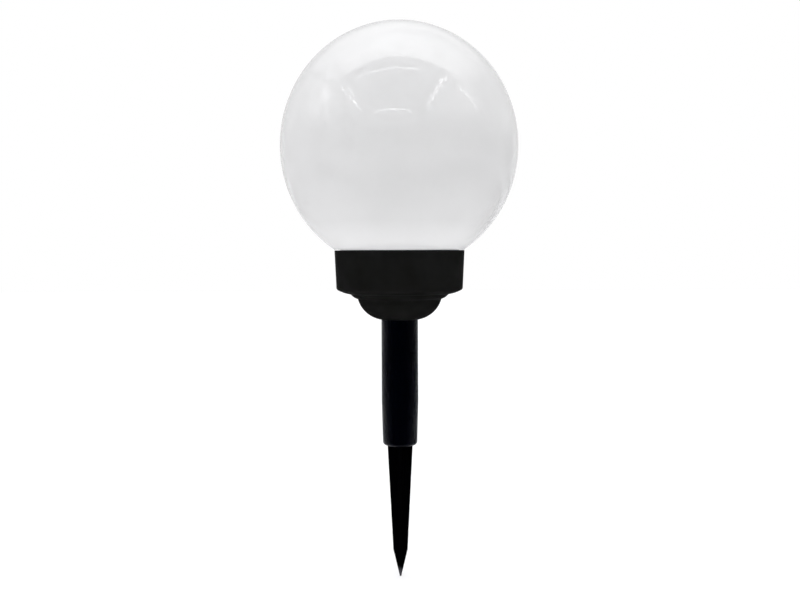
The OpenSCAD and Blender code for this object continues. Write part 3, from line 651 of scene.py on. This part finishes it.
def mirroredSheet(name, points, faces, spots, look):
    # a sheet that only a reflection finds: it dims what is behind it, adds its own light and fades out
    # at its edges
    finish = Finish(name)
    finish.material.cycles.emission_sampling = "NONE"
    spread = finish.add("ShaderNodeTexCoord", output="UV")
    mask = finish.add("ShaderNodeLightPath", output="Is Glossy Ray")
    for axis, (near, far) in (("X", look["fade"][:2]), ("Y", look["fade"][2:])):
        share = finish.axis(axis, spread)
        mask = mask * finish.ease(share, 0.0, near) * finish.ease(1 - share, 0.0, far)
    clear = finish.add("ShaderNodeBsdfTransparent", {}, {"Color": grey(1)})
    dimmed = finish.add("ShaderNodeBsdfTransparent", {}, {"Color": grey(1 - look.get("hide", 0))})
    bright = finish.add("ShaderNodeEmission", {}, {"Color": grey(1), "Strength": look.get("gain", 0)})
    cloth = finish.add("ShaderNodeAddShader", {}, {0: dimmed, 1: bright})
    faded = finish.add("ShaderNodeMixShader", {}, {0: mask, 1: clear, 2: cloth})
    finish.add("ShaderNodeOutputMaterial", {}, {"Surface": faded})
    sheet = meshPiece(name, points, faces, finish.material)
    layer = sheet.data.uv_layers.new(name="spread")
    for loop in sheet.data.loops:
        layer.data[loop.index].uv = spots[loop.vertex_index]
    sheet.rotation_euler = (math.radians(look.get("tilt", 0)), 0, math.radians(look.get("turn", 0)))
    sheet.visible_camera = False
    sheet.visible_shadow = False
    sheet.visible_transmission = False


def foldRibbon(fold, height):
    # points, faces and spread of a ribbon along a fold's line, crumpled from side to side
    line, steps, points, spots = fold["line"], ribbon["steps"], [], []
    for i in range(steps + 1):
        along = i / steps * (len(line) - 1)
        j = min(int(along), len(line) - 2)
        (ax, ay), (bx, by) = line[j], line[j + 1]
        length = math.hypot(bx - ax, by - ay)
        jag = ribbon["jag"] * math.sin(i * ribbon["jagPace"] + ribbon["jagStart"])
        crumple = fold["wave"] * (math.sin(i * ribbon["wavePace"]) + jag)
        swell = 1 + ribbon["swell"] * math.sin(i * ribbon["swellPace"] + ribbon["swellStart"])
        half = fold["wide"] / 2 * swell
        for side, across in ((-half, 0), (half, 1)):
            aside = (side + crumple) / length
            points.append((ax + (bx - ax) * (along - j) - (by - ay) * aside,
                           ay + (by - ay) * (along - j) + (bx - ax) * aside, height))
            spots.append((i / steps, across))
    faces = [(2 * i, 2 * i + 2, 2 * i + 3, 2 * i + 1) for i in range(steps)]
    return points, faces, spots


for name, look in sheets.items():
    corners = rectangle(look["x"], look["y"], look["z"])
    mirroredSheet(name, corners, [(0, 1, 2, 3)], ((0, 0), (1, 0), (1, 1), (0, 1)), look)
for order, (name, fold) in enumerate(folds.items()):
    height = tentTop - ribbon["below"] - ribbon["apart"] * order  # so that none lies in another's plane
    mirroredSheet(name, *foldRibbon(fold, height), dict(fold, fade=ribbon["fade"]))

sky = bpy.data.worlds.new("studio")
bpy.context.scene.world = sky
studio = Finish("studio", sky)
direction = studio.add("ShaderNodeTexCoord", output="Generated")
across, rise = (studio.axis(axis, direction) for axis in "XZ")
tent = studio.blend(grey(daylight["horizon"]), daylight["zenith"], rise - daylight["leftward"] * across)
around = studio.add("ShaderNodeBackground", {}, {"Color": tent, "Strength": 1.0})
behind = studio.add("ShaderNodeBackground", {}, {"Color": grey(1), "Strength": daylight["background"]})
mixed = studio.add("ShaderNodeMixShader", {}, {0: seenDirectly(studio), 1: around, 2: behind})
studio.add("ShaderNodeOutputWorld", {}, {"Surface": mixed})

print("stage: camera")
view = {"spot": (0.0003, -0.869, 0.1652), "down": 2.78, "lean": 0.2, "lens": 46.35, "sensor": 36}
cameraData = bpy.data.cameras.new("camera")
cameraData.lens = view["lens"]
cameraData.sensor_width = view["sensor"]
camera = bpy.data.objects.new("camera", cameraData)
camera.matrix_world = (Matrix.Translation(view["spot"])
                       @ Matrix.Rotation(math.radians(90 - view["down"]), 4, "X")
                       @ Matrix.Rotation(math.radians(-view["lean"]), 4, "Z"))
bpy.context.scene.collection.objects.link(camera)
bpy.context.scene.camera = camera
bpy.context.scene.view_settings.view_transform = "Standard"

bpy.context.view_layer.update()
